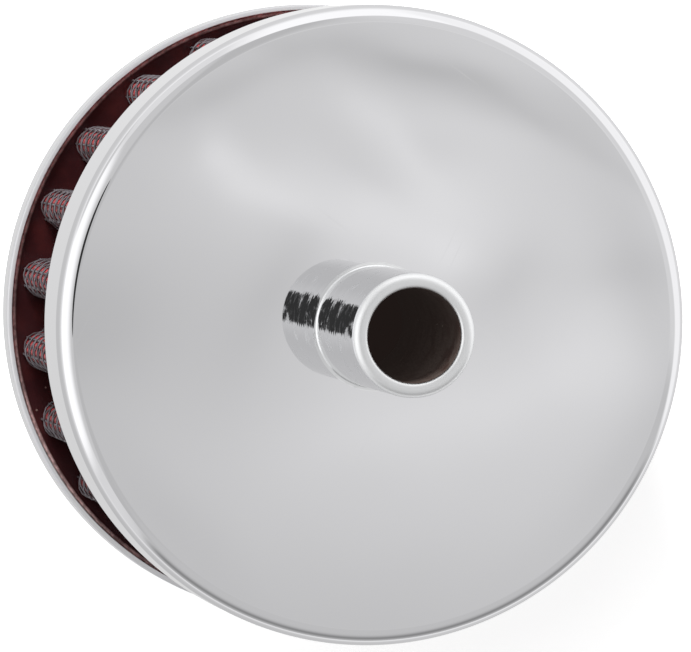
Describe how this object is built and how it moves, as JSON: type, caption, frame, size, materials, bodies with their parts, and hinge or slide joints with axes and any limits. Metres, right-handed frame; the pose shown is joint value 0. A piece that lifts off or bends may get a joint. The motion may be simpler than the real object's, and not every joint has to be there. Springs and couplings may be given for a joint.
{
  "type": "crankcase breather filter",
  "caption": "Round crankcase breather filter: chromed pressed ends, a pleated red gauze element between wire screens cast into both ends with resin, and a central tube for a vent hose.",
  "frame": {"origin": "centre of the cap's flat outer face, which the part stands on", "axes": "+Z along the filter's axis, from the cap towards the tip of the inlet tube; +X through the tip of one pleat"},
  "size_m": [0.088, 0.088, 0.074],
  "materials": {
    "pressed_chrome": "polished",
    "turned_chrome": "polished over turning marks",
    "potting_resin": "glossy",
    "cotton_gauze": "oiled open weave",
    "screen_wire": "dull coated wire"
  },
  "bodies": {
    "root": {"base_plate": "pressed_chrome", "inlet_tube": "turned_chrome", "cap": "pressed_chrome", "base_potting": "potting_resin", "cap_potting": "potting_resin", "outer_wire_screen": "screen_wire", "gauze_layer_1": "cotton_gauze", "gauze_layer_2": "cotton_gauze", "gauze_layer_3": "cotton_gauze", "gauze_layer_4": "cotton_gauze", "inner_wire_screen": "screen_wire"}
  },
  "joints": []
}
